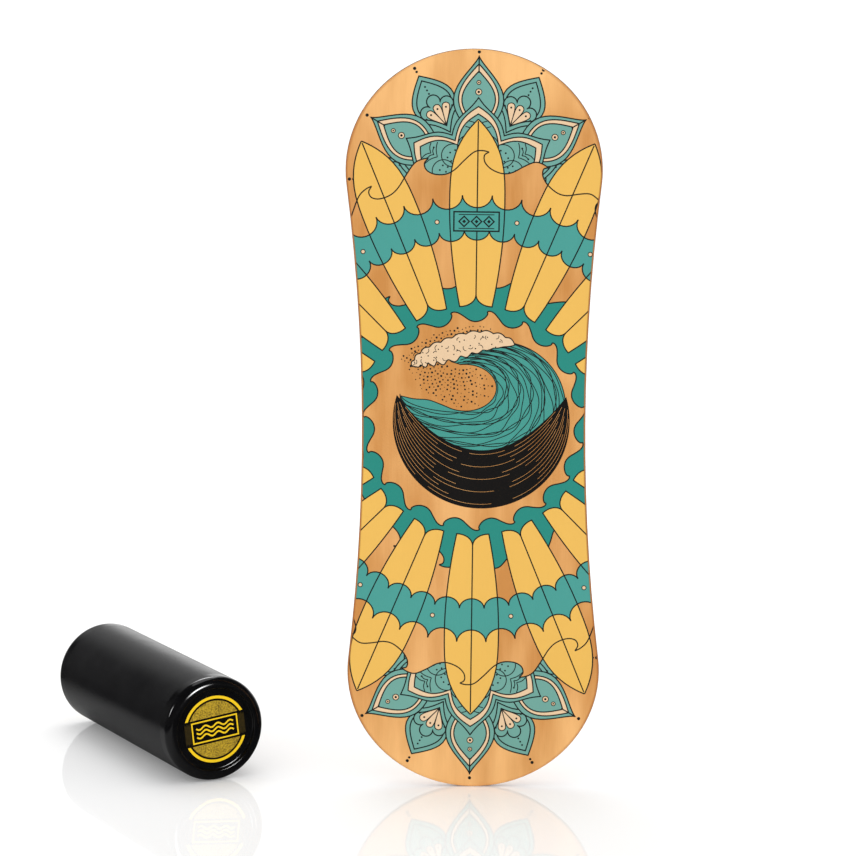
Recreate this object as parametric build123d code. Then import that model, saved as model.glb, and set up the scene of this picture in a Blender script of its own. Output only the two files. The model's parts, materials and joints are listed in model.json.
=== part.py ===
from build123d import *

import math
import os

# A balance board: a seven-ply wooden deck with two stop bars underneath, and the loose roller it is ridden on.
# The deck stands on its lower end with its standing face towards -Y, and the roller lies on the same floor
# beside it. Millimetres, +Z up. The origin is the centre of the standing face.

# Deck: half-elliptical ends joined by long concave sides
deck_length = 760.0
deck_width = 259.0
waist_width = 227.5
end_depth = 122.0
deck_thickness = 12.0
ply_names = ["face_ply", "cross_ply_2", "long_ply_3", "cross_ply_4", "long_ply_5", "cross_ply_6", "back_ply"]
ply_thickness = deck_thickness / len(ply_names)
edge_radius = 3.0

# Stop bars, screwed to the underside near both ends
stop_length = 184.0
stop_width = 22.0
stop_height = 16.0
stop_from_end = 58.0
stop_edge_radius = 3.5

# Countersunk wood screws, three through each bar into the deck
screw_spacing = 70.0
screw_length = 24.0
screw_radius = 2.0
screw_tip_length = 4.0
screw_tip_radius = 0.3
screw_head_radius = 4.0
screw_head_height = 2.4
screw_head_sunk = 0.4
drive_slot_length = 4.4
drive_slot_width = 0.9
drive_slot_depth = 1.5
hole_clearance = 0.05

# Roller: a rigid core tube inside a rubber sleeve, closed by a cap at each end
roller_diameter = 110.0
roller_length = 305.0
sleeve_thickness = 2.5
tube_wall = 6.0
fit_gap = 0.05
seam_angle = 148.5
seam_width = 0.6
seam_depth = 0.4

# End caps, measured inwards from their front plane
collar_length = 20.0
lip_radius = 9.0
lip_inner_radius = 1.4
recess_radius = 43.5
recess_depth = 3.5
recess_floor_radius = 2.0
cap_wall = 4.0
lip_solid_length = 10.0
skirt_length = 32.0
skirt_wall = 3.0
skirt_lead_in = 1.0
hub_radius = 12.0
hub_wall = 2.5
rib_count = 6
rib_height = 12.0
rib_thickness = 2.4
weld_overlap = 0.5

# Printed label discs in the caps' recesses
label_radius = 35.7
label_thickness = 0.3

# Where the roller lies: its label end points half towards the viewer, half towards the deck
roller_centre_x = -339.0
roller_centre_y = 153.0
roller_turn = 28.4

# Worked out from the above
half_width = deck_width / 2
half_waist = waist_width / 2
end_centre = deck_length / 2 - end_depth
stop_position = deck_length / 2 - stop_from_end
floor_z = -deck_length / 2
roller_radius = roller_diameter / 2
tube_outer_radius = roller_radius - sleeve_thickness
tube_inner_radius = tube_outer_radius - tube_wall
half_roller = roller_length / 2


def side_meets_end():
    """The angle on the end ellipse, in degrees, where the side's single concave arc meets it tangentially."""
    low = -60.0
    high = -0.1
    for _ in range(50):
        angle = (low + high) / 2
        across = math.cos(math.radians(angle))
        along = math.sin(math.radians(angle))
        normal = Vector(across / half_width, along / end_depth).normalized()
        reach = (end_centre + end_depth * along) / normal.Y
        mismatch = half_width * across - half_waist + reach * (1 - normal.X)
        if mismatch > 0:
            high = angle
        else:
            low = angle
    return angle


def deck_outline():
    """The deck's outline, drawn in X and Z."""
    angle = side_meets_end()
    upper_end = EllipticalCenterArc((0, end_centre), half_width, end_depth, angle, arc_size=180 - 2 * angle)
    lower_end = EllipticalCenterArc((0, -end_centre), half_width, end_depth, 180 + angle, arc_size=180 - 2 * angle)
    left_side = ThreePointArc(upper_end @ 1, (-half_waist, 0), lower_end @ 0)
    right_side = ThreePointArc(lower_end @ 1, (half_waist, 0), upper_end @ 0)
    return Plane.XZ * make_face([upper_end, left_side, lower_end, right_side])


def deck_blank():
    """The whole pressed deck with both faces' edges rounded over, before it is divided into plies."""
    blank = extrude(deck_outline(), amount=deck_thickness, dir=(0, 1, 0))
    faces = blank.faces().sort_by(Axis.Y)
    return fillet(faces[0].edges() + faces[-1].edges(), edge_radius)


def ply(blank, number):
    """One veneer of the deck, counted from the standing face."""
    slab = Box(deck_width * 2, ply_thickness, deck_length * 2)
    return blank & Pos(0, (number + 0.5) * ply_thickness, 0) * slab


def screw_places(side):
    """The points on a stop bar's outer face where its screws go in, each with its axis out of the bar."""
    outer_face = deck_thickness + stop_height
    height = side * stop_position
    across = [column * screw_spacing for column in (-1, 0, 1)]
    return [Plane(origin=(x, outer_face, height), x_dir=(1, 0, 0), z_dir=(0, 1, 0)) for x in across]


def screw_body(head_radius, shank_radius, length):
    """A countersunk screw's outer shape, its head's top at the origin and its axis along +Z."""
    head_base = -screw_head_sunk - screw_head_height
    tip_start = -length + screw_tip_length
    middle = Align.CENTER
    up_from = (middle, middle, Align.MIN)
    head = Pos(0, 0, head_base) * Cone(shank_radius, head_radius, screw_head_height, align=up_from)
    shank = Pos(0, 0, tip_start) * Cylinder(shank_radius, head_base - tip_start, align=up_from)
    tip = Pos(0, 0, -length) * Cone(screw_tip_radius, shank_radius, screw_tip_length, align=up_from)
    return head + shank + tip


def screw():
    """A wood screw with a cross drive in its head."""
    slot = Box(drive_slot_length, drive_slot_width, 2 * drive_slot_depth)
    cross = slot + Rot(0, 0, 90) * slot
    return screw_body(screw_head_radius, screw_radius, screw_length) - Pos(0, 0, -screw_head_sunk) * cross


def screw_hole():
    """The space a screw takes, with clearance, open above its sunk head."""
    head_radius = screw_head_radius + hole_clearance
    body = screw_body(head_radius, screw_radius + hole_clearance, screw_length + hole_clearance)
    mouth = Pos(0, 0, -screw_head_sunk) * Cylinder(head_radius, 1.0, align=(Align.CENTER, Align.CENTER, Align.MIN))
    return body + mouth


def stop_bar(side):
    """A round-ended bar that keeps the roller from leaving the deck's end, with its screw holes."""
    foot = Plane(origin=(0, deck_thickness, side * stop_position), x_dir=(1, 0, 0), z_dir=(0, 1, 0))
    bar = extrude(foot * SlotOverall(stop_length, stop_width), amount=stop_height)
    bar = fillet(bar.faces().sort_by(Axis.Y)[-1].edges(), stop_edge_radius)
    for place in screw_places(side):
        bar -= place * screw_hole()
    return bar


def sleeve():
    """The rubber sleeve between the caps, with the fine open seam where its edges meet."""
    length = roller_length - 2 * collar_length
    body = Cylinder(roller_radius, length) - Cylinder(tube_outer_radius + fit_gap, 2 * length)
    seam = Pos(roller_radius, 0, 0) * Box(2 * seam_depth, seam_width, 2 * length)
    return body - Rot(0, 0, seam_angle) * seam


def core_tube():
    """The rigid tube that carries the load, reaching into both caps."""
    length = roller_length - 2 * lip_solid_length - 2 * fit_gap
    return Cylinder(tube_outer_radius, length) - Cylinder(tube_inner_radius, 2 * length)


def round_corner(profile, radius_at, depth_at, corner_radius):
    """Rounds the corner of a cap's profile that lies at this radius and depth."""
    corner = profile.vertices().sort_by_distance((radius_at, 0, half_roller - depth_at))[0]
    return fillet(corner, corner_radius)


def cap_profile():
    """Half of a cap's section, from its axis out to the rounded lip and back along the skirt in the tube."""
    slot_outer = tube_outer_radius + fit_gap
    slot_inner = tube_inner_radius - fit_gap
    skirt_inner = slot_inner - skirt_wall
    wall_back = recess_depth + cap_wall
    corners = [
        (0, recess_depth),
        (recess_radius, recess_depth),
        (recess_radius, 0),
        (roller_radius, 0),
        (roller_radius, collar_length),
        (slot_outer, collar_length),
        (slot_outer, lip_solid_length),
        (slot_inner, lip_solid_length),
        (slot_inner, skirt_length - skirt_lead_in),
        (slot_inner - skirt_lead_in, skirt_length),
        (skirt_inner, skirt_length),
        (skirt_inner, wall_back),
        (0, wall_back),
    ]
    points = [(radius, half_roller - depth) for radius, depth in corners]
    profile = Plane.XZ * make_face(Polyline(*points, close=True))
    profile = round_corner(profile, roller_radius, 0, lip_radius)
    profile = round_corner(profile, recess_radius, 0, lip_inner_radius)
    return round_corner(profile, recess_radius, recess_depth, recess_floor_radius)


def end_cap():
    """The cap at the label end: lip, recess, skirt inside the tube, and a ribbed hub behind its wall."""
    cap = revolve(cap_profile(), Axis.Z)
    wall_back = half_roller - recess_depth - cap_wall
    rib_centre_z = wall_back + weld_overlap - rib_height / 2
    skirt_inner = tube_inner_radius - fit_gap - skirt_wall
    rib_length = skirt_inner - hub_radius + hub_wall
    rib_middle = (skirt_inner + hub_radius - hub_wall) / 2 + weld_overlap
    hub = Cylinder(hub_radius, rib_height) - Cylinder(hub_radius - hub_wall, 2 * rib_height)
    cap += Pos(0, 0, rib_centre_z) * hub
    for number in range(rib_count):
        rib = Pos(rib_middle, 0, rib_centre_z) * Box(rib_length, rib_thickness, rib_height)
        cap += Rot(0, 0, number * 360 / rib_count) * rib
    return cap


def label():
    """The printed disc on the floor of a cap's recess."""
    front = half_roller - recess_depth + label_thickness
    return Pos(0, 0, front) * Cylinder(label_radius, label_thickness, align=(Align.CENTER, Align.CENTER, Align.MAX))


def roller_place():
    """The roller's own frame on the floor: Z along its axis out of the label end, Y straight up."""
    turn = math.radians(roller_turn)
    return Plane(
        origin=(roller_centre_x, roller_centre_y, floor_z + roller_radius),
        x_dir=(math.cos(turn), math.sin(turn), 0),
        z_dir=(math.sin(turn), -math.cos(turn), 0),
    )


def other_end(shape):
    """The same piece at the roller's far end."""
    return Rot(0, 180, 0) * shape


def build_parts():
    """Every node of the balance board by name."""
    parts = {}
    blank = deck_blank()
    for side_name, side in (("upper", 1), ("lower", -1)):
        places = screw_places(side)
        for place in places:
            blank -= place * screw_hole()
        parts[side_name + "_stop"] = stop_bar(side)
        parts[side_name + "_stop_screws"] = Compound(children=[place * screw() for place in places])
    for number, name in enumerate(ply_names):
        parts[name] = ply(blank, number)
    place = roller_place()
    parts["roller_core_tube"] = place * core_tube()
    parts["roller_grip_sleeve"] = place * sleeve()
    parts["front_end_cap"] = place * end_cap()
    parts["rear_end_cap"] = place * other_end(end_cap())
    parts["front_label"] = place * label()
    parts["rear_label"] = place * other_end(label())
    return parts


os.makedirs("parts", exist_ok=True)
for node, shape in build_parts().items():
    export_step(shape, os.path.join("parts", node + ".step"))
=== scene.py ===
"""Looks of the balance board: veneers, the printed pattern, the roller's finishes, floor, light and camera.

The printed pattern is drawn by formula in millimetres on the deck's face, x to the right and z up from the
face's centre. Angles are degrees clockwise from the upper end. Overlapping shapes go onto a Sheet in printing
order, and the sheet is then divided into flat regions, one thin film of ink per colour.
"""
import json
import math

import bpy
import numpy as np
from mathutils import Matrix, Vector
from mathutils.geometry import delaunay_2d_cdt


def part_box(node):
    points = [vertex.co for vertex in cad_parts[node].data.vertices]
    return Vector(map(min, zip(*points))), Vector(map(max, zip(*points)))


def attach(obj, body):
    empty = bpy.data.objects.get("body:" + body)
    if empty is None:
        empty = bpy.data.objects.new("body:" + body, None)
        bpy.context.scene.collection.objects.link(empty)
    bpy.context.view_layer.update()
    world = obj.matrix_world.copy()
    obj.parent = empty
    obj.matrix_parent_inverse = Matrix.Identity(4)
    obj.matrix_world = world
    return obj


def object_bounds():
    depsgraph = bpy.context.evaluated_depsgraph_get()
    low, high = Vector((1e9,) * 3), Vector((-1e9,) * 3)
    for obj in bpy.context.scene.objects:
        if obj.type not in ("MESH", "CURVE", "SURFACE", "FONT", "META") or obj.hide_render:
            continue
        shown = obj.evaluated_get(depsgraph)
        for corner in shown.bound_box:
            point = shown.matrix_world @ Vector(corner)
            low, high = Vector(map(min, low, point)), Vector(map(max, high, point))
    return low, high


MM = 0.001
FILM_THICKNESS = 0.06
FILM_EMBED = 0.03
LINE = 1.3
WOOD = "wood"

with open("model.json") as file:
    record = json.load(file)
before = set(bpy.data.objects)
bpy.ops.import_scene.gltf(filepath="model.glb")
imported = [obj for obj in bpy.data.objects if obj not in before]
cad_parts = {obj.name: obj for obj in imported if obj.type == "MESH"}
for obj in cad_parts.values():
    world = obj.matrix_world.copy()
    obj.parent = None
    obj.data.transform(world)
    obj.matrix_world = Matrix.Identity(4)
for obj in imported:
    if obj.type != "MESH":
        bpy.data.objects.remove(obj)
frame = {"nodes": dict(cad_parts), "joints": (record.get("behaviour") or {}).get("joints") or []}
cad_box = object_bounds()
nodes = frame["nodes"]


# ---------------------------------------------------------------- plane geometry

def polar(radius, angle):
    """The point at a radius and a clockwise angle from the upper end."""
    turn = np.radians(angle)
    return np.stack([radius * np.sin(turn), radius * np.cos(turn)], -1)


def turned(points, angle, centre=(0.0, 0.0)):
    """Points turned clockwise about the origin, then moved to a centre."""
    turn = math.radians(angle)
    points = np.asarray(points, float)
    x = points[:, 0] * math.cos(turn) + points[:, 1] * math.sin(turn)
    z = points[:, 1] * math.cos(turn) - points[:, 0] * math.sin(turn)
    return np.stack([x, z], -1) + np.asarray(centre, float)


def circle(radius, centre=(0.0, 0.0), count=48):
    return polar(np.full(count, float(radius)), -np.arange(count) * 360 / count) + np.asarray(centre, float)


def arc(radius, first, last, centre=(0.0, 0.0), step=3.0):
    count = max(3, int(abs(last - first) / step) + 1)
    return polar(np.full(count, float(radius)), np.linspace(first, last, count)) + np.asarray(centre, float)


def rectangle(width, height, centre=(0.0, 0.0)):
    corners = np.array([(-1, -1), (1, -1), (1, 1), (-1, 1)]) * (width / 2, height / 2)
    return corners + np.asarray(centre, float)


def smooth(points, per_span=6):
    """A Catmull-Rom curve through the points."""
    points = np.asarray(points, float)
    padded = np.vstack([2 * points[0] - points[1], points, 2 * points[-1] - points[-2]])
    share = np.linspace(0, 1, per_span, endpoint=False)[:, None]
    spans = []
    for before, start, end, after in zip(padded, padded[1:], padded[2:], padded[3:]):
        bend = 2 * before - 5 * start + 4 * end - after
        twist = 3 * start - before - 3 * end + after
        spans.append(0.5 * (2 * start + (end - before) * share + bend * share ** 2 + twist * share ** 3))
    return np.vstack(spans + [points[-1:]])


def signed_area(points):
    x, z = points[:, 0], points[:, 1]
    return 0.5 * float(np.sum(x * np.roll(z, -1) - np.roll(x, -1) * z))


def side_normals(path, closed):
    """Normals to the right of a path, stretched at its corners so that a ribbon keeps its width."""
    if closed:
        ahead = np.roll(path, -1, axis=0) - path
    else:
        ahead = np.diff(path, axis=0)
        ahead = np.vstack([ahead, ahead[-1:]])
    ahead /= np.linalg.norm(ahead, axis=1)[:, None]
    behind = np.roll(ahead, 1, axis=0)
    if not closed:
        behind[0] = ahead[0]
    along = ahead + behind
    length = np.maximum(np.linalg.norm(along, axis=1), 0.8)
    along = along / length[:, None] * (2 / length)[:, None]
    return np.stack([along[:, 1], -along[:, 0]], -1)


class Sheet:
    """Shapes in printing order: the last shape over a spot decides its ink."""

    def __init__(self, outline):
        self.points = []
        self.faces = []
        self.inks = []
        self.edges = []
        self.fill("outline", outline)

    def fill(self, ink, points):
        points = np.asarray(points, float)
        if signed_area(points) < 0:
            points = points[::-1]
        start = len(self.points)
        self.points.extend(points.tolist())
        self.faces.append(list(range(start, start + len(points))))
        self.inks.append(ink)

    def ring(self, points):
        """A closed guide line that only adds corners to the regions it crosses."""
        start = len(self.points)
        count = len(points)
        self.points.extend(np.asarray(points, float).tolist())
        self.edges.extend((start + i, start + (i + 1) % count) for i in range(count))

    def stroke(self, ink, path, width=LINE, closed=False):
        path = np.asarray(path, float)
        if closed and signed_area(path) > 0:
            path = path[::-1]
        normals = side_normals(path, closed) * width / 2
        count = len(path)
        start = len(self.points)
        self.points.extend((path + normals).tolist() + (path - normals).tolist())
        for i in range(count if closed else count - 1):
            j = (i + 1) % count
            corners = [start + i, start + j, start + count + j, start + count + i]
            if signed_area(np.array([self.points[c] for c in corners])) < 0:
                corners.reverse()
            self.faces.append(corners)
            self.inks.append(ink)

    def shape(self, ink, points, line_ink="lines", width=LINE):
        """A filled shape with a line round it."""
        self.fill(ink, points)
        self.stroke(line_ink, points, width, closed=True)

    def dot(self, ink, centre, radius):
        self.fill(ink, circle(radius, centre, 12))

    def ringed_dot(self, ink, centre, radius, line):
        self.fill("lines", circle(radius + line, centre, 20))
        self.fill(ink, circle(radius, centre, 20))

    def regions(self):
        """The sheet's corners, and its triangles grouped by ink."""
        corners = [Vector(p) for p in self.points]
        found = delaunay_2d_cdt(corners, self.edges, self.faces, 1, 1e-4)
        points = np.array([tuple(p) for p in found[0]])
        groups = {}
        for triangle, sources in zip(found[2], found[5]):
            if not sources or min(sources) != 0:
                continue
            groups.setdefault(self.inks[max(sources)], []).append(triangle)
        return points, groups


# ---------------------------------------------------------------- films of ink

def film_mesh(name, points, triangles, place):
    """A closed thin film over flat triangles; place() puts a flat point at a height above the surface."""
    triangles = np.array(triangles)
    corners = points[triangles]
    turn = np.cross(corners[:, 1] - corners[:, 0], corners[:, 2] - corners[:, 0])
    triangles = triangles[np.abs(turn) > 1e-9]
    turn = turn[np.abs(turn) > 1e-9]
    triangles[turn < 0] = triangles[turn < 0][:, ::-1]
    used, compact = np.unique(triangles, return_inverse=True)
    compact = compact.reshape(triangles.shape)
    count = len(used)
    front = place(points[used], FILM_THICKNESS)
    back = place(points[used], -FILM_EMBED)
    edges = {(a, b) for tri in compact for a, b in zip(tri, np.roll(tri, -1))}
    walls = [(a, a + count, b + count, b) for a, b in sorted(edges) if (b, a) not in edges]
    faces = compact.tolist() + (compact[:, ::-1] + count).tolist() + walls
    mesh = bpy.data.meshes.new(name)
    mesh.from_pydata((np.vstack([front, back]) * MM).tolist(), [], faces)
    mesh.update()
    piece = bpy.data.objects.new(name, mesh)
    bpy.context.scene.collection.objects.link(piece)
    return piece


def flat_outline(node):
    """The outline of a CAD node's flat front face, counter-clockwise, in millimetres."""
    mesh = nodes[node].data
    front = min(v.co.y for v in mesh.vertices) + 1e-5
    keys = [(round(v.co.x, 6), round(v.co.z, 6)) if v.co.y < front else None for v in mesh.vertices]
    links = {}
    for polygon in mesh.polygons:
        corners = [keys[v] for v in polygon.vertices]
        if None in corners:
            continue
        for a, b in zip(corners, corners[1:] + corners[:1]):
            if links.get(b, set()) and a in links[b]:
                links[b].discard(a)
            else:
                links.setdefault(a, set()).add(b)
    start = max(k for k, v in links.items() if v)
    loop = [start]
    while True:
        following = links[loop[-1]].pop()
        if following == start:
            break
        loop.append(following)
    loop = np.array(loop) / MM
    return loop if signed_area(loop) > 0 else loop[::-1]


def grown(outline, distance):
    """A counter-clockwise outline moved outwards."""
    return outline + side_normals(outline, True) * distance


def outside_distance(points, outline):
    """How far each point lies outside an outline; zero inside it."""
    start = outline
    step = np.roll(outline, -1, axis=0) - start
    length = np.linalg.norm(step, axis=1)
    outward = np.stack([step[:, 1], -step[:, 0]], -1) / length[:, None]
    result = np.zeros(len(points))
    for first in range(0, len(points), 2000):
        block = points[first:first + 2000, None, :] - start[None]
        share = np.clip((block * step).sum(-1) / length ** 2, 0, 1)
        gap = np.linalg.norm(block - share[..., None] * step, axis=-1)
        nearest = gap.argmin(1)
        rows = np.arange(len(nearest))
        outer = (block[rows, nearest] * outward[nearest]).sum(-1) > 0
        result[first:first + 2000] = np.where(outer, gap[rows, nearest], 0)
    return result


# ---------------------------------------------------------------- the deck's pattern

PRINT_TURN = 0.65
PRINT_CENTRE = (0.7, 3.3)
RAY_STEP = 22.5
RAY_TIP = 306.5
RAY_WIDEST = 221.0
RAY_INNER = 117.0
RAY_NOTCH = 129.3
RAY_HALF_WIDTH = 27.8
RAY_INNER_HALF_WIDTH = 16.4
BAND_SCALLOPS = 48
BAND_OUTER = (217.5, 230.5)
BAND_INNER = (184.7, 195.2)
BAND_DOT_RADIUS = 206.4
FLOWER_CENTRE = 244.8

# Rings of running waves: how many, where the first tip is, and the trough's and tip's half width and height
WAVE_RING = (22, 3.0, (203.0, 254.5), (215.0, 274.0))
FIELD_RING = (19, 3.4, (138.0, 138.0), (153.5, 153.5))
SUN_RING = (19, 5.9, (101.6, 101.6), (112.6, 112.6))

# One wave from tip to tip: share of the pitch, and height from trough (0) to tip (1)
CURLED_WAVE = [
    (0, 1.0), (-0.075, 0.82), (-0.06, 0.45), (0.06, 0.12), (0.25, -0.02),
    (0.42, 0.14), (0.6, 0.6), (0.76, 0.99), (0.89, 1.06), (1, 1.0),
]
SUN_TOOTH = [
    (0, 1.0), (0.08, 1.08), (0.2, 0.95), (0.35, 0.57), (0.5, 0.19),
    (0.66, 0.03), (0.83, 0.13), (0.96, 0.43), (1.02, 0.78), (1, 1.0),
]


def ray_half_width(radius):
    outer = np.clip((radius - RAY_WIDEST) / (RAY_TIP - RAY_WIDEST), 0, 1)
    inner = np.clip((RAY_WIDEST - radius) / (RAY_WIDEST - RAY_INNER), 0, 1)
    taper = (RAY_HALF_WIDTH - RAY_INNER_HALF_WIDTH) * inner ** 1.9
    return RAY_HALF_WIDTH * (1 - outer ** 3.2) - taper


def ray_side():
    """A ray's right side from its tip in, round the lobe, to the notch on its centre line."""
    fan = np.linspace(0, 1, 14) ** 2
    pointed_part = RAY_TIP - fan * (RAY_TIP - RAY_WIDEST)
    inner_part = np.linspace(RAY_WIDEST, RAY_INNER, 12)[1:]
    radii = np.concatenate([pointed_part, inner_part])
    side = np.stack([ray_half_width(radii), radii], -1)
    swing = np.radians(np.linspace(0, 90, 9))[1:]
    lobe_x = RAY_INNER_HALF_WIDTH * (1 - np.sin(swing))
    lobe_z = RAY_NOTCH - (RAY_NOTCH - RAY_INNER) * np.cos(swing)
    return np.vstack([side, np.stack([lobe_x, lobe_z], -1)])


def ray_angles():
    """Rays that show on the deck: all but the two straight across its waist."""
    return [k * RAY_STEP for k in range(16) if k not in (4, 12)]


def scallops(radii, per_scallop=13):
    """Arcs of one scalloped edge, from outward cusp to outward cusp."""
    trough, cusp = radii
    pitch = 360 / BAND_SCALLOPS
    swing = np.radians(np.linspace(-90, 90, per_scallop))
    radius = trough + (cusp - trough) * (1 - np.cos(swing))
    return [polar(radius, (k + np.sin(swing) / 2) * pitch) for k in range(BAND_SCALLOPS)]


def running_waves(ring, shape):
    """The strokes of a ring of waves, each from one tip to the next."""
    count, start, low, high = ring
    path = smooth(shape, 4)
    share, height = path[:, 0], path[:, 1]
    half_width = low[0] + (high[0] - low[0]) * height
    half_height = low[1] + (high[1] - low[1]) * height
    waves = []
    for number in range(count):
        turn = np.radians(start + (share + number) * 360 / count)
        waves.append(np.stack([half_width * np.sin(turn), half_height * np.cos(turn)], -1))
    return waves


def draw_waves(sheet, ring, shape, ink):
    """A field inside a ring of waves, and its edge."""
    waves = running_waves(ring, shape)
    sheet.fill(ink, np.vstack([wave[:-1] for wave in waves]))
    for wave in waves:
        sheet.stroke("lines", wave)


def petal(tip, half_width, reach, length, power=1.0):
    """A pointed petal on its own axis, from its tip inwards; reach is how far in it is widest."""
    depth = np.linspace(0, 1, 16) ** 1.3 * length
    swell = np.sin(np.minimum(depth / reach, 1.7) * math.pi / 2) ** power
    side = np.stack([half_width * swell, tip - depth], -1)
    return np.vstack([side, (side * (-1, 1))[:0:-1]])


def star(peak, valley, bulge, ogee=0.0):
    """A six-pointed arch ring round a flower's heart; ogee draws its sides in just below each point."""
    share = np.linspace(0, 1, 10, endpoint=False)
    points = []
    for corner in range(12):
        first, last = (peak, valley) if corner % 2 == 0 else (valley, peak)
        side = ogee if corner % 2 == 0 else -ogee
        start = polar(np.array(first), corner * 30)
        end = polar(np.array(last), corner * 30 + 30)
        along = (end - start) / np.linalg.norm(end - start)
        outward = np.array([-along[1], along[0]])
        lift = np.sin(share * math.pi) * bulge - np.sin(share * 2 * math.pi) * side
        points.append(start + (end - start) * share[:, None] + np.outer(lift, outward))
    return np.vstack(points)


def draw_pointed_petal(sheet, angle, place):
    """A petal with a pale strip inside its edge and two ringed dots."""
    sheet.shape("petal", place(turned(petal(124.5, 25.2, 44, 66, 1.25), angle)))
    sheet.shape("cream", place(turned(petal(117, 20.2, 35, 50), angle)))
    sheet.shape("petal", place(turned(petal(109.8, 16.8, 28.5, 42), angle)))
    sheet.stroke("lines", place(turned([(0, 123), (0, 108)], angle)))
    for distance, radius in ((89, 3.6), (98.5, 2.5)):
        spot = place(turned([(0, distance)], angle))[0]
        sheet.dot("lines", spot, radius)
        sheet.dot("cream", spot, radius - 0.9)
        sheet.dot("lines", spot, radius * 0.36)
    sheet.dot("lines", place(turned([(0, 129)], angle))[0], 1.7)


def draw_round_petal(sheet, angle, place):
    """A broader petal with three lobes over its heart and a row of dots to its tip."""
    sheet.shape("petal", place(turned(petal(120.3, 22, 30, 60), angle)))
    sheet.stroke("lines", place(turned(petal(114.7, 17.8, 26, 46), angle)), LINE, closed=True)
    for column, distance, lean, sweep in ((-11.2, 83.5, -38, 97), (11.2, 83.5, 38, 97), (0, 90.8, 0, 121)):
        lobe = arc(6.8, lean - sweep, lean + sweep, (column, distance), 12)
        sheet.fill("petal", place(turned(lobe, angle)))
        sheet.stroke("lines", place(turned(lobe, angle)))
    for distance in (99.8, 103.8, 107.8):
        sheet.dot("lines", place(turned([(0, distance)], angle))[0], 1.0)
    for distance, radius in ((125, 1.3), (129, 1.7)):
        sheet.dot("lines", place(turned([(0, distance)], angle))[0], radius)


def draw_buds(sheet, angle, place):
    """Three pale buds fanning out of a round petal's foot."""
    side = [(0, 0.5), (1.5, 6), (2.9, 12), (3.8, 17.5), (3.2, 21.3), (0, 22.9)]
    outline = smooth(side + [(-x, z) for x, z in side[-2::-1]], 3)[:-1]
    for lean in (-28, 28, 0):
        foot = (0, 64.2)
        sheet.shape("cream", place(turned(turned(outline, lean, foot), angle)), "lines", 1.0)
        sheet.dot("lines", place(turned(turned([(0, 18.2)], lean, foot), angle))[0], 1.05)


def draw_flower_heart(sheet, place):
    """Overlapping rings of dots and small nested brackets inside the star."""
    for side in (-1, 1):
        sheet.fill("petal", place(circle(17.0, (side * 41, 9), 24)))
    for angle in range(0, 360, 60):
        for corner, reach in ((54.5, 10.5), (51.0, 7.5), (47.0, 15.0)):
            share = np.linspace(0, 1, 6)
            along = np.outer(share * reach, (0.866, 0.5)) + (0, corner)
            arm = along + np.outer(np.sin(share * math.pi) * 1.3, (-0.5, 0.866))
            for mirror in (1, -1):
                sheet.stroke("lines", place(turned(arm * (mirror, 1), angle)), 1.0)
        for lean in (-6.5, 6.5):
            sheet.dot("lines", place([polar(np.array(55.3), angle + lean)])[0], 1.0)
    for angle in range(15, 360, 30):
        sheet.fill("petal", place(circle(11.5, polar(np.array(35.5), angle), 32)))
    for angle in range(15, 360, 30):
        sheet.stroke("lines", place(circle(11.5, polar(np.array(35.5), angle), 32)), 1.0, closed=True)
    for angle in range(15, 360, 30):
        for lean in (-8, 0, 8):
            sheet.dot("lines", place([polar(np.array(39.5 - abs(lean) / 6), angle + lean)])[0], 0.95)
            sheet.dot("lines", place([polar(np.array(33.0), angle + lean * 1.1)])[0], 0.95)


def draw_flower(sheet, turn):
    """The outer half of a twelve-petalled ornament at one end of the deck."""
    def place(points):
        return turned(np.asarray(points) + (0.0, FLOWER_CENTRE), turn)

    for angle in (-90, -30, 30, 90):
        draw_round_petal(sheet, angle, place)
    for peak, valley in ((92, 63.5), (88, 56)):
        sheet.shape("petal", place(star(peak, valley, 9.5)))
    for angle in (-30, 30):
        draw_buds(sheet, angle, place)
    for angle in (-60, 0, 60):
        draw_pointed_petal(sheet, angle, place)
    sheet.shape("petal", place(star(83.3, 52.5, 3.2, 1.5)))
    sheet.shape("cream", place(star(74.4, 46.2, 5.6)))
    sheet.shape("petal", place(star(67.0, 41.0, 5.6)))
    draw_flower_heart(sheet, place)


def draw_band(sheet):
    """The scalloped ring: its fill, then its two edges."""
    outer = scallops(BAND_OUTER)
    inner = scallops(BAND_INNER)
    for outer_arc, inner_arc in zip(outer, inner):
        sheet.fill("band", np.vstack([outer_arc, inner_arc[::-1]]))
    for edge in outer + inner:
        sheet.stroke("lines", edge)


def draw_ray_lines(sheet):
    side = ray_side()
    for angle in ray_angles():
        sheet.stroke("lines", turned(side, angle))
        sheet.stroke("lines", turned(side * (-1, 1), angle))
        sheet.stroke("lines", turned([(0, RAY_TIP - 2), (0, RAY_NOTCH)], angle))


def draw_plaque(sheet):
    """A plain framed plate on the band with three small diamonds."""
    middle = (-0.5, 203.5)
    sheet.shape("band", rectangle(45.6, 19.4, middle), "lines", 1.5)
    for column in (-1, 0, 1):
        spot = (middle[0] + column * 12.5, middle[1])
        sheet.stroke("lines", circle(5.2, spot, 4), 1.4, closed=True)
        sheet.fill("lines", circle(2.0, spot, 4))
    for side in (-1, 1):
        height = middle[1] + side * 7.0
        sheet.stroke("lines", [(middle[0] - 18, height), (middle[0] + 18, height)], 0.9)


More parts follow.
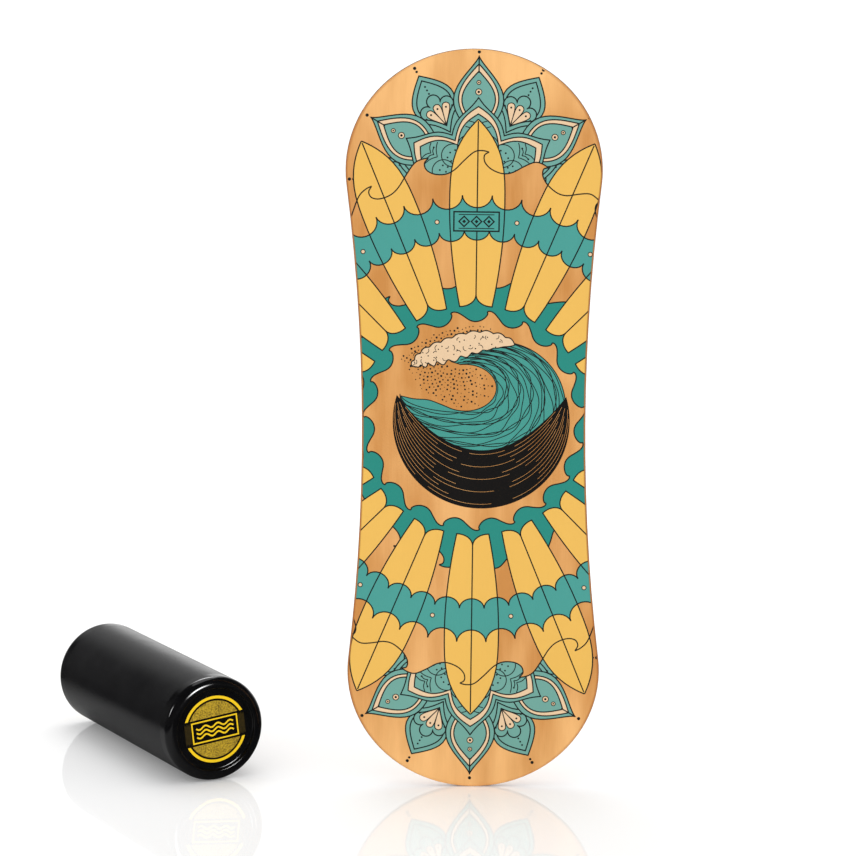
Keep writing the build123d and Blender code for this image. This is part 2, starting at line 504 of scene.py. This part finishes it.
# The roundel: circles as centre and radius, the hollow's centre and half size, the rim's angle from the top
BOWL = ((7.0, -0.5), 90.0)
WAVE_BACK = ((25.0, 14.0), 67.5)
HOLLOW = (-10.0, 34.0)
HOLLOW_SIZE = (32.0, 24.0)
FOAM_SPINE = [(40, 78.5), (25, 81.5), (8, 81.5), (-10, 78), (-28, 72), (-44, 67), (-56, 61), (-64, 55)]
FOOT_EDGE = [(-34.0, 16.5), (-47.0, 21.0), (-62.0, 22.0), (-76.0, 25.0)]
BOWL_RIM = 73.0
BOWL_WATER_DEPTH = 56.0
BOWL_LINES = 13
BARE_LINE = 0.36
FLOW_LINES = 21


def hollow_edge(first, last, count=48):
    """Part of the hollow's egg-shaped edge."""
    turn = np.radians(np.linspace(first, last, count))
    return np.stack([HOLLOW_SIZE[0] * np.sin(turn), HOLLOW_SIZE[1] * np.cos(turn)], -1) + HOLLOW


def flow_line(number, count):
    """One wavering line of the wave's flow, from its crest round its back and under the hollow."""
    share = (number + 0.5) / count
    turn = np.linspace(-12 + 10 * math.sin(number * 2.1), 256, 110)
    radians = np.radians(turn)
    late = np.clip((turn - 150) / 100, 0, 1)
    drift = np.stack([-35 * late ** 2 * (3 - 2 * late), 0 * late], -1)
    inner = np.stack([HOLLOW_SIZE[0] * np.sin(radians), HOLLOW_SIZE[1] * np.cos(radians)], -1) + HOLLOW
    outer = polar(np.full(len(turn), WAVE_BACK[1]), turn) + np.asarray(WAVE_BACK[0])
    waver = 0.034 * np.sin(radians * 3 + number * 1.7) + 0.02 * np.sin(radians * 7 + number * 2.9)
    mixed = np.clip(share + waver, 0.02, 0.98)[:, None]
    return inner * (1 - mixed) + outer * mixed + drift


def draw_wave(sheet):
    """A teal wave with flowing lines, curling over a hollow of bare wood."""
    back = arc(WAVE_BACK[1], -30, 101, WAVE_BACK[0])
    below = [(82, -15), (25, -45), (-38, -38), (-76, 4)]
    sheet.fill("pool", np.vstack([back, below, FOOT_EDGE[::-1], [(-34, 40), (-30, 67)]]))
    sheet.stroke("lines", back, 1.0)
    for number in range(FLOW_LINES):
        sheet.stroke("lines", flow_line(number, FLOW_LINES), 0.9)
    edge = np.vstack([[(-31, 67), (-24, 60.5)], hollow_edge(-8, 212), smooth(FOOT_EDGE, 4)])
    sheet.fill(WOOD, np.vstack([edge, [(-66, 40), (-60, 62), (-36, 70)]]))
    sheet.stroke("lines", edge, 1.0)


def bowl_line(share, first=0.0, last=1.0, count=72):
    """Part of an even line in the bowl between its water line (0) and its round underside (1)."""
    turn = np.linspace(-BOWL_RIM, BOWL_RIM - 360, count)
    under = polar(np.full(count, BOWL[1]), turn) + np.asarray(BOWL[0])
    across = np.linspace(under[0, 0], under[-1, 0], count)
    level = (across - BOWL[0][0]) / (under[-1, 0] - BOWL[0][0])
    water = np.stack([across, under[0, 1] - BOWL_WATER_DEPTH * (1 - level ** 2)], -1)
    line = water * (1 - share) + under * share
    return line[int(first * count):max(int(last * count), 2)]


def draw_dark_bowl(sheet):
    """A plain symmetrical dark bowl under the wave, with fine lines that leave the wood bare."""
    sheet.fill("black", np.vstack([bowl_line(0.0), bowl_line(1.0)[-2:0:-1]]))
    for number in range(1, BOWL_LINES + 1):
        share = number / (BOWL_LINES + 1)
        gaps = (0.36 + 0.07 * math.sin(number * 2.3), 0.64 + 0.07 * math.sin(number * 1.7 + 1))
        stagger = 0.035 + 0.03 * (number * 5 % 4)
        parts = [(gaps[1] + 0.02, 1 - stagger), (stagger, gaps[0])]
        if number % 3 == 1:
            parts.append((gaps[0] + 0.03, gaps[1] - 0.03))
        for first, last in parts:
            sheet.stroke(WOOD, bowl_line(share, first, last), BARE_LINE)


def draw_foam(sheet):
    """Pale foam along the wave's crest, scalloped above and with drips below."""
    spine = smooth(FOAM_SPINE, 12)
    share = np.linspace(0, 1, len(spine))
    normals = side_normals(spine, False)
    thickness = 10.6 * np.sin(share ** 0.9 * math.pi) ** 0.8
    upper = spine + normals * (thickness + 2.2 * np.abs(np.sin(share * 31)))[:, None]
    drips = thickness * 0.9 + 30 * np.abs(np.sin(share * 32)) ** 1.4 * share ** 2 * (1 - share)
    lower = spine - normals * drips[:, None]
    sheet.shape("cream", np.vstack([upper, lower[-2:0:-1]]), "lines", 1.2)
    for number in range(24):
        step = 12 + number * 3
        spot = spine[step] + normals[step] * (7.0 * math.sin(number * 2.3))
        lean = number * 67
        sheet.stroke("lines", arc(2.2 + number % 3 * 0.5, lean, lean + 120, spot, 25), 0.7)
        sheet.dot("lines", spine[step] - normals[step] * (6.0 * math.sin(number * 1.3)), 0.7)


def on_bare_wood(spot):
    """Whether a spray drop falls clear of the wave and the bowl."""
    x, z = spot
    in_hollow = np.linalg.norm((spot - HOLLOW) / HOLLOW_SIZE) < 0.9
    left_gap = z > 25 and x < -28 and x > -57 - 0.72 * (z - 36)
    above = math.dist(spot, WAVE_BACK[0]) > WAVE_BACK[1] + 3 and z > 70 and x < 46
    return math.hypot(x, z) < 98 and (in_hollow or left_gap or above)


def draw_spray(sheet):
    """Small drops thinning out from the foam, spaced by the golden angle."""
    for number in range(900):
        spot = polar(np.array(2.15 * math.sqrt(number)), number * 137.508) + (-34.0, 64.0)
        kept = (number * 7) % 13 < 14 - 0.011 * number
        if kept and on_bare_wood(spot):
            sheet.fill("lines", circle(0.45 + 0.17 * ((number * 7) % 5), spot, 8))


def draw_roundel(sheet):
    draw_wave(sheet)
    draw_dark_bowl(sheet)
    draw_spray(sheet)
    draw_foam(sheet)


def draw_deck_pattern(sheet):
    for end in (0, 180):
        draw_flower(sheet, end)
    draw_waves(sheet, WAVE_RING, CURLED_WAVE, WOOD)
    draw_waves(sheet, FIELD_RING, CURLED_WAVE, "field")
    side = ray_side()
    for angle in ray_angles():
        sheet.fill("yellow", turned(np.vstack([side, (side * (-1, 1))[::-1][1:-1]]), angle))
    for wave in running_waves(WAVE_RING, CURLED_WAVE):
        sheet.stroke("lines", wave)
    draw_band(sheet)
    draw_ray_lines(sheet)
    for angle in ray_angles():
        spot = polar(np.array(BAND_DOT_RADIUS), angle + RAY_STEP / 2)
        sheet.ringed_dot("cream", spot, 1.7, 0.9)
    draw_plaque(sheet)
    draw_waves(sheet, SUN_RING, SUN_TOOTH, WOOD)
    draw_roundel(sheet)


PRINT_OVERHANG = 1.5


def onto_print(points):
    """Deck coordinates to the print's own, which sits slightly turned and off-centre."""
    return turned(np.asarray(points) - PRINT_CENTRE, -PRINT_TURN)


def print_deck():
    """The deck's films of ink, wrapped a little over its rounded edge."""
    outline = flat_outline("face_ply")
    full_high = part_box("cross_ply_4")[1]
    edge_radius = full_high.x / MM - outline[:, 0].max()
    sheet = Sheet(onto_print(grown(outline, PRINT_OVERHANG)))
    for share in (0.0, 0.5):
        sheet.ring(onto_print(grown(outline, share * PRINT_OVERHANG)))
    draw_deck_pattern(sheet)
    points, groups = sheet.regions()
    points = turned(points, PRINT_TURN, PRINT_CENTRE)
    over = np.minimum(outside_distance(points, outline), edge_radius)
    drop = {tuple(p): d for p, d in zip(points, edge_radius - np.sqrt(edge_radius ** 2 - over ** 2))}

    def place(flat, height):
        depth = np.array([drop[tuple(p)] for p in flat]) - height
        return np.stack([flat[:, 0], depth, flat[:, 1]], -1)

    films = {}
    for ink, triangles in groups.items():
        if ink not in (WOOD, "outline"):
            films[ink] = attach(film_mesh("print_" + ink, points, triangles, place), "deck")
    return films


# ---------------------------------------------------------------- the roller's labels

LABEL_TURN = -6.2
LABEL_FRAME = (51.0, 21.6)
LABEL_BAND = 27.6
LABEL_DISCS = (("bright", 0.2), ("blank", 3.2), ("mustard", 5.3))


def draw_label(sheet, radius):
    """A ring and two fields broken by a band that holds a framed, plain wave sign."""
    for ink_name, inset in LABEL_DISCS:
        sheet.fill(ink_name, circle(radius - inset, count=96))
    sheet.fill("blank", rectangle(2 * radius + 4, LABEL_BAND))
    sheet.stroke("bright", rectangle(LABEL_FRAME[0], LABEL_FRAME[1]), 1.5, closed=True)
    steps = np.linspace(-21, 21, 43)
    for height in (-4.6, 0.0, 4.6):
        sheet.stroke("bright", np.stack([steps, height + 1.7 * np.sin(steps * math.pi / 7)], -1), 1.7)
    for side in (-1, 1):
        for number in range(8):
            x = side * (27.6 + 0.85 * number)
            half = 11.5 - 0.6 * ((number * 3) % 4)
            sheet.stroke("faded", [(x, -half), (x, half)], 0.28)


def print_label(node, outward):
    """One label's films of ink on the CAD disc."""
    low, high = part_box(node)
    centre = np.array((low + high) / 2) / MM
    radius = (high.z - low.z) / 2 / MM
    outward = np.array(outward, float)
    up = np.array((0.0, 0.0, 1.0))
    right = np.cross(up, outward)
    half_thickness = label_half_thickness(low, high, outward)
    sheet = Sheet(circle(radius, count=96))
    draw_label(sheet, radius)
    points, groups = sheet.regions()
    turned_points = turned(points, LABEL_TURN)

    def place(flat, height):
        lift = half_thickness + height
        return centre + flat[:, :1] * right + flat[:, 1:] * up + lift * outward

    films = {}
    for ink in ("bright", "mustard", "faded"):
        film = film_mesh(f"{node}_{ink}", turned_points, groups[ink], place)
        films[ink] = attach(film, "roller")
    return films


def label_half_thickness(low, high, outward):
    """Half the disc's thickness, from the extent of a tilted disc along X."""
    radius = (high.z - low.z) / 2
    rim = 2 * radius * abs(outward[1])
    return (high.x - low.x - rim) / (2 * abs(outward[0])) / MM


# ---------------------------------------------------------------- materials

def srgb(code):
    values = [int(code[i:i + 2], 16) / 255 for i in (1, 3, 5)]
    return tuple(v / 12.92 if v <= 0.04045 else ((v + 0.055) / 1.055) ** 2.4 for v in values) + (1.0,)


class Shader:
    """A material's node tree, with short ways to add and join nodes."""

    def __init__(self, name):
        self.material = bpy.data.materials.new(name)
        self.material.use_nodes = True
        self.tree = self.material.node_tree
        self.surface = self.tree.nodes["Principled BSDF"]
        places = self.node("ShaderNodeTexCoord").outputs
        self.coords = places["Object"]
        self.normals = places["Normal"]

    def node(self, kind, inputs=None, **settings):
        made = self.tree.nodes.new(kind)
        for key, value in settings.items():
            setattr(made, key, value)
        for key, value in (inputs or {}).items():
            self.feed(made.inputs[key], value)
        return made

    def feed(self, socket, value):
        if isinstance(value, bpy.types.NodeSocket):
            self.tree.links.new(value, socket)
        else:
            socket.default_value = value

    def set(self, **inputs):
        for key, value in inputs.items():
            self.feed(self.surface.inputs[key.replace("_", " ").title().replace("Ior", "IOR")], value)

    def noise(self, scale, stretch=(1, 1, 1), detail=4.0, roughness=0.55):
        place = self.node("ShaderNodeMapping", {"Vector": self.coords, "Scale": stretch})
        made = self.node(
            "ShaderNodeTexNoise",
            {"Vector": place.outputs[0], "Scale": scale, "Detail": detail, "Roughness": roughness},
        )
        return made.outputs["Fac"]

    def spread(self, value, low, high, to_low=0.0, to_high=1.0):
        made = self.node(
            "ShaderNodeMapRange",
            {"Value": value, "From Min": low, "From Max": high, "To Min": to_low, "To Max": to_high},
        )
        return made.outputs[0]

    def mix(self, share, first, second, blend="MIX"):
        made = self.node("ShaderNodeMix", data_type="RGBA", blend_type=blend)
        self.feed(made.inputs[0], share)
        self.feed(made.inputs[6], first)
        self.feed(made.inputs[7], second)
        return made.outputs[2]

    def part_of(self, vector, letter):
        """One coordinate of a vector."""
        return self.node("ShaderNodeSeparateXYZ", {"Vector": vector}).outputs[letter]

    def edge_tone(self, colour, edge_colour):
        """The colour on flat faces, and the edge colour where the surface turns to the side."""
        sideways = self.math("ABSOLUTE", self.part_of(self.normals, "X"))
        return self.mix(self.spread(sideways, 0.15, 0.65, 0.0, 0.85), colour, edge_colour)

    def math(self, operation, first, second=0.5):
        made = self.node("ShaderNodeMath", operation=operation)
        self.feed(made.inputs[0], first)
        self.feed(made.inputs[1], second)
        return made.outputs[0]

    def bump(self, height, strength, distance):
        made = self.node("ShaderNodeBump", {"Height": height, "Strength": strength, "Distance": distance})
        self.set(normal=made.outputs[0])


SATIN = 0.14
GRAIN_ALONG = {"x": (0.03, 1, 1), "y": (1, 0.03, 1), "z": (1, 1, 0.03)}


def grain(shader, along):
    """Wood grain along an axis: fine streaks, broad figure, patches and fine pores, each 0 to 1."""
    stretch = GRAIN_ALONG[along]
    streaks = shader.noise(900, stretch, 5.0, 0.6)
    figure = shader.noise(34, tuple(max(s, 0.22) for s in stretch), 3.0, 0.5)
    patches = shader.noise(11, tuple(max(s, 0.5) for s in stretch), 2.0, 0.5)
    pores = shader.noise(1900, stretch, 2.0, 0.5)
    broad = shader.math("ADD", shader.math("MULTIPLY", figure, 0.5), shader.math("MULTIPLY", patches, 0.5))
    return (
        shader.spread(streaks, 0.3, 0.7),
        shader.spread(broad, 0.36, 0.64),
        shader.spread(pores, 0.62, 0.72),
    )


def wood(name, light, dark, pore, along, streak_share=0.2, pore_share=0.2, end_tone=0.0):
    """Varnished wood; end_tone makes it lighter towards the deck's two ends."""
    shader = Shader(name)
    streaks, broad, pores = grain(shader, along)
    fine = shader.math("MULTIPLY", streaks, streak_share)
    from_middle = shader.math("ABSOLUTE", shader.part_of(shader.coords, "Z"))
    ends = shader.spread(from_middle, 0.24, 0.37, -end_tone, end_tone)
    blend = shader.math("ADD", fine, shader.math("MULTIPLY", broad, 1 - streak_share))
    blend = shader.math("ADD", blend, ends)
    colour = shader.mix(blend, srgb(dark), srgb(light))
    colour = shader.mix(shader.math("MULTIPLY", pores, pore_share), colour, srgb(pore))
    colour = shader.edge_tone(colour, srgb(pore))
    shader.set(base_color=colour, roughness=shader.spread(streaks, 0, 1, 0.36, 0.46))
    shader.set(specular_ior_level=SATIN)
    shader.bump(streaks, 0.08, 0.0002)
    return shader.material


def ink(name, colour, grain_share=0.06, wear=0.05):
    """Print on wood: the grain shows faintly through, and the ink is a little uneven."""
    shader = Shader(name)
    streaks, broad = grain(shader, "z")[:2]
    base = srgb(colour)
    darker = tuple(c * 0.74 for c in base[:3]) + (1.0,)
    lighter = tuple(min(1.0, c * 1.12 + 0.006) for c in base[:3]) + (1.0,)
    tone = shader.mix(shader.math("MULTIPLY", streaks, grain_share), base, darker)
    tone = shader.mix(shader.math("MULTIPLY", broad, grain_share * 3), tone, lighter)
    speck = shader.spread(shader.noise(1500, (1, 1, 0.5), 2.0), 0.62, 0.74)
    tone = shader.mix(shader.math("MULTIPLY", speck, wear), tone, srgb("#E0A25C"))
    tone = shader.edge_tone(tone, srgb("#7A4A26"))
    shader.set(base_color=tone, roughness=shader.spread(streaks, 0, 1, 0.34, 0.44))
    shader.set(specular_ior_level=SATIN)
    shader.bump(streaks, 0.06, 0.0002)
    return shader.material


def rubber_sleeve():
    shader = Shader("sleeve_rubber")
    mottle = shader.noise(30, (1, 1, 1), 3.0)
    fine = shader.noise(2600, (1, 1, 1), 2.0)
    colour = shader.mix(shader.spread(mottle, 0.3, 0.7), srgb("#070709"), srgb("#0C0C0E"))
    shader.set(base_color=colour, roughness=shader.spread(mottle, 0.3, 0.7, 0.19, 0.25))
    shader.set(specular_ior_level=0.3)
    shader.bump(fine, 0.12, 0.0002)
    return shader.material


def gloss_cap():
    shader = Shader("cap_gloss")
    haze = shader.noise(60, (1, 1, 1), 4.0)
    scuffs = shader.spread(shader.noise(420, (1, 1, 0.2), 3.0), 0.62, 0.75)
    shader.set(base_color=shader.mix(shader.spread(haze, 0.3, 0.7), srgb("#060607"), srgb("#0B0B0D")))
    rough = shader.spread(haze, 0.3, 0.7, 0.07, 0.11)
    shader.set(roughness=shader.math("ADD", rough, shader.math("MULTIPLY", scuffs, 0.06)))
    shader.bump(haze, 0.05, 0.0005)
    return shader.material


def vinyl(name, colour, speck_colour, speck_share):
    shader = Shader(name)
    speck = shader.spread(shader.noise(700, (1, 1, 1), 4.0, 0.7), 0.44, 0.6)
    patch = shader.spread(shader.noise(90, (1, 1, 1), 3.0), 0.3, 0.7)
    tone = shader.mix(shader.math("MULTIPLY", speck, speck_share), srgb(colour), srgb(speck_colour))
    tone = shader.mix(shader.math("MULTIPLY", patch, speck_share * 0.4), tone, srgb(speck_colour))
    shader.set(base_color=tone, roughness=shader.spread(patch, 0, 1, 0.32, 0.42))
    shader.set(specular_ior_level=0.2)
    shader.bump(speck, 0.04, 0.0001)
    return shader.material


def plated_steel():
    shader = Shader("screw_steel")
    brushed = shader.noise(900, (1, 1, 1), 3.0)
    colour = shader.mix(shader.spread(brushed, 0.3, 0.7), srgb("#B5AE9C"), srgb("#D8D3C4"))
    shader.set(base_color=colour, metallic=1.0, roughness=shader.spread(brushed, 0.3, 0.7, 0.25, 0.4))
    shader.bump(brushed, 0.1, 0.0001)
    return shader.material


def core_plastic():
    shader = Shader("core_plastic")
    drawn = shader.noise(500, (1, 1, 0.1), 3.0)
    colour = shader.mix(shader.spread(drawn, 0.3, 0.7), srgb("#3A3A3C"), srgb("#4A4A4C"))
    shader.set(base_color=colour, roughness=shader.spread(drawn, 0.3, 0.7, 0.45, 0.6))
    shader.bump(drawn, 0.08, 0.0002)
    return shader.material


def finish_with(material, *names):
    for name in names:
        slots = nodes[name].data.materials
        slots.clear()
        slots.append(material)


def finish_nodes():
    """Materials of the CAD pieces."""
    face = wood("face_wood", "#FCC37F", "#CF8E4B", "#AE6A34", "z", 0.1, 0.12, 0.3)
    finish_with(face, "face_ply")
    back = wood("back_wood", "#E2B277", "#CC9457", "#9C6433", "z", 0.25, 0.2)
    finish_with(back, "back_ply")
    long_grain = wood("long_ply_wood", "#C98A4B", "#A9682F", "#7A451C", "z", 0.4, 0.4)
    finish_with(long_grain, "long_ply_3", "long_ply_5")
    cross_grain = wood("cross_ply_wood", "#8E5527", "#6C3C18", "#43230D", "x", 0.4, 0.5)
    finish_with(cross_grain, "cross_ply_2", "cross_ply_4", "cross_ply_6")
    stops = wood("stop_wood", "#D9A86E", "#B98245", "#8A562A", "x", 0.35, 0.35)
    finish_with(stops, "upper_stop", "lower_stop")
    finish_with(plated_steel(), "upper_stop_screws", "lower_stop_screws")
    finish_with(core_plastic(), "roller_core_tube")
    finish_with(rubber_sleeve(), "roller_grip_sleeve")
    finish_with(gloss_cap(), "front_end_cap", "rear_end_cap")
    finish_with(vinyl("label_blank", "#080808", "#141208", 0.4), "front_label", "rear_label")


DECK_INKS = {
    "lines": "#1F2524",
    "band": "#4CA097",
    "field": "#298D81",
    "pool": "#479C91",
    "petal": "#73AA9F",
    "yellow": "#EFBD5D",
    "cream": "#EBCBA5",
    "black": "#191716",
}


def finish_films(deck_films, label_films):
    for name, film in deck_films.items():
        film.data.materials.append(ink("ink_" + name, DECK_INKS[name]))
    label_inks = {
        "bright": vinyl("label_bright", "#FFD414", "#D9AC16", 0.15),
        "mustard": vinyl("label_mustard", "#D2AE2A", "#54440F", 0.8),
        "faded": vinyl("label_faded", "#5E4C1A", "#2A220C", 0.5),
    }
    for films in label_films:
        for name, film in films.items():
            film.data.materials.append(label_inks[name])


# ---------------------------------------------------------------- floor, light and camera

EVEN_LIGHT = 0.91
FLOOR_HALF_SIZE = 60.0
FLOOR_GLOW = 0.13
FLOOR_MIRROR = 0.2
FLOOR_COLOUR = "#FBFBFB"
FLOOR_IN_GLOSS = "#383838"
# Floor tone that only reflections see, on a strip beside the roller: a painted reflection, lighter than
# elsewhere, on the roller's underside
FLOOR_IN_GLOSS_PAINTED_LIGHT_BY_ROLLER = "#9C9C9C"

# What reflections see: a bright wall behind the object, brighter still near the horizon, and dark elsewhere
BRIGHT_WALL = 0.42
HORIZON = 1.1
DARK_SIDE = 0.03
WALL_STARTS = 0.68
WALL_FULL = 0.82
HORIZON_FULL = 0.2
HORIZON_ENDS = 0.32

ROLLER = (-0.27, 0.0, -0.3)
FRONT_LIP = (-0.28, 0.02, -0.28)

# Lamps: place, target, width, height and power; the second group shows only in the front cap's gloss
STUDIO_LAMPS = {
    "overhead": ((-0.4, 1.2, 2.0), (-0.4, 1.2, -1.0), 1.6, 2.8, 14),
    "front_right": ((1.65, -2.8, 0.6), ROLLER, 0.4, 0.8, 5),
    "left_strip": ((-2.6, -0.5, 0.65), ROLLER, 0.25, 0.8, 4),
}
LIP_LAMPS = {
    "lip_back": ((-0.55, 2.05, 1.35), FRONT_LIP, 2.2, 1.1, 42),
    "lip_front": ((1.45, -2.4, 0.85), FRONT_LIP, 1.7, 1.3, 220),
    "lip_left": ((-2.53, -0.48, 0.72), FRONT_LIP, 0.8, 1.0, 14),
}

CAMERA_PLACE = (0.0, -3.5, 0.56)
CAMERA_TARGET = (-0.0464, 0.0, -0.0041)
CAMERA_LENS = 146.5
CAMERA_SENSOR = 36.0


def add_floor(height):
    """A white floor that mirrors faintly towards the front only, and is darker in reflections; beside the
    roller reflections see it lighter, a painted reflection on the roller's underside.
    """
    size = FLOOR_HALF_SIZE
    mesh = bpy.data.meshes.new("floor")
    corners = [(-size, -size), (size, -size), (size, size), (-size, size)]
    mesh.from_pydata([(x, y, height) for x, y in corners], [], [(0, 1, 2, 3)])
    floor = bpy.data.objects.new("floor", mesh)
    bpy.context.scene.collection.objects.link(floor)
    shader = Shader("floor_white")
    haze = shader.noise(3, (1, 1, 1), 2.0)
    in_gloss = shader.node("ShaderNodeLightPath").outputs["Is Glossy Ray"]
    # Painted reflection: on a strip beside the roller, reflections see a lighter floor, which brightens the
    # roller's underside in its gloss
    across = shader.part_of(shader.coords, "X")
    right_of_left_end = shader.spread(across, -0.66, -0.5)
    right_of_roller = shader.spread(across, -0.34, -0.22)
    painted_light_strip_by_roller = shader.math("SUBTRACT", right_of_left_end, right_of_roller)
    gloss_tone = shader.mix(painted_light_strip_by_roller, srgb(FLOOR_IN_GLOSS), srgb(FLOOR_IN_GLOSS_PAINTED_LIGHT_BY_ROLLER))
    shader.set(base_color=shader.mix(in_gloss, srgb(FLOOR_COLOUR), gloss_tone))
    shader.set(roughness=shader.spread(haze, 0.3, 0.7, 0.004, 0.016))
    shader.set(emission_color=srgb("#FFFFFF"), emission_strength=shader.spread(in_gloss, 0, 1, FLOOR_GLOW, 0))
    towards = shader.node("ShaderNodeNewGeometry").outputs["Incoming"]
    shader.set(specular_ior_level=shader.spread(shader.part_of(towards, "Y"), -0.75, -0.45, FLOOR_MIRROR, 0))
    mesh.materials.append(shader.material)


def map_range(tree, value, from_min, from_max, to_min=0.0, to_max=1.0):
    """A Map Range node in a world's or a lamp's node tree."""
    made = tree.nodes.new("ShaderNodeMapRange")
    tree.links.new(value, made.inputs["Value"])
    limits = {"From Min": from_min, "From Max": from_max, "To Min": to_min, "To Max": to_max}
    for name, number in limits.items():
        made.inputs[name].default_value = number
    return made


def add_world():
    """Even white light, but reflections see a bright wall behind the object only, so black gloss is dark."""
    world = bpy.data.worlds.new("studio")
    bpy.context.scene.world = world
    world.use_nodes = True
    tree = world.node_tree
    new = tree.nodes.new
    link = tree.links.new
    direction = new("ShaderNodeSeparateXYZ")
    link(new("ShaderNodeTexCoord").outputs["Generated"], direction.inputs[0])
    wall = map_range(tree, direction.outputs["Y"], WALL_STARTS, WALL_FULL, DARK_SIDE, BRIGHT_WALL)
    low = map_range(tree, direction.outputs["Z"], HORIZON_FULL, HORIZON_ENDS, HORIZON / BRIGHT_WALL, 1.0)
    shade = new("ShaderNodeMath")
    shade.operation = "MULTIPLY"
    link(wall.outputs[0], shade.inputs[0])
    link(low.outputs[0], shade.inputs[1])
    rays = new("ShaderNodeLightPath")
    even = new("ShaderNodeMix")
    link(rays.outputs["Is Glossy Ray"], even.inputs[0])
    even.inputs[2].default_value = EVEN_LIGHT
    link(shade.outputs[0], even.inputs[3])
    seen = new("ShaderNodeMix")
    link(rays.outputs["Is Camera Ray"], seen.inputs[0])
    link(even.outputs[0], seen.inputs[2])
    seen.inputs[3].default_value = 1.0
    background = tree.nodes["Background"]
    background.inputs["Color"].default_value = (1, 1, 1, 1)
    link(seen.outputs[0], background.inputs["Strength"])


def aim(thing, target):
    thing.rotation_mode = "QUATERNION"
    thing.rotation_quaternion = (Vector(target) - thing.location).to_track_quat("-Z", "Y")


def fade_to_edge(light):
    """Make a lamp brightest in its middle and dark at its rim, so that its reflection has soft ends."""
    light.use_nodes = True
    tree = light.node_tree
    place = tree.nodes.new("ShaderNodeNewGeometry").outputs["Parametric"]
    from_middle = tree.nodes.new("ShaderNodeVectorMath")
    from_middle.operation = "DISTANCE"
    from_middle.inputs[1].default_value = (0.5, 0.5, 0.0)
    tree.links.new(place, from_middle.inputs[0])
    fade = map_range(tree, from_middle.outputs["Value"], 0.5, 0.05)
    fade.interpolation_type = "SMOOTHSTEP"
    tree.links.new(fade.outputs[0], tree.nodes["Emission"].inputs["Strength"])


def add_softbox(name, place, target, width, height, power, only_on=None):
    """A soft oval lamp; with only_on given, it shows in the gloss of those pieces and nowhere else."""
    light = bpy.data.lights.new(name, "AREA")
    light.shape = "ELLIPSE"
    light.size = width
    light.size_y = height
    light.energy = power
    lamp = bpy.data.objects.new(name, light)
    bpy.context.scene.collection.objects.link(lamp)
    lamp.location = place
    aim(lamp, target)
    lamp.visible_camera = False
    if only_on:
        fade_to_edge(light)
        lamp.visible_diffuse = False
        lamp.light_linking.receiver_collection = only_on


def add_lights():
    for name, settings in STUDIO_LAMPS.items():
        add_softbox(name, *settings)
    front_cap = bpy.data.collections.new("lit_cap")
    front_cap.objects.link(nodes["front_end_cap"])
    for name, settings in LIP_LAMPS.items():
        add_softbox(name, *settings, only_on=front_cap)


def add_camera():
    data = bpy.data.cameras.new("camera")
    data.sensor_width = CAMERA_SENSOR
    data.lens = CAMERA_LENS
    camera = bpy.data.objects.new("camera", data)
    bpy.context.scene.collection.objects.link(camera)
    camera.location = CAMERA_PLACE
    aim(camera, CAMERA_TARGET)
    bpy.context.scene.camera = camera


deck_films = print_deck()
spin_axis = frame["joints"][0]["axis"]
label_films = [print_label("front_label", spin_axis), print_label("rear_label", [-a for a in spin_axis])]
finish_nodes()
finish_films(deck_films, label_films)
add_floor(cad_box[0].z)
add_world()
add_lights()
add_camera()
bpy.context.scene.view_settings.view_transform = "Standard"
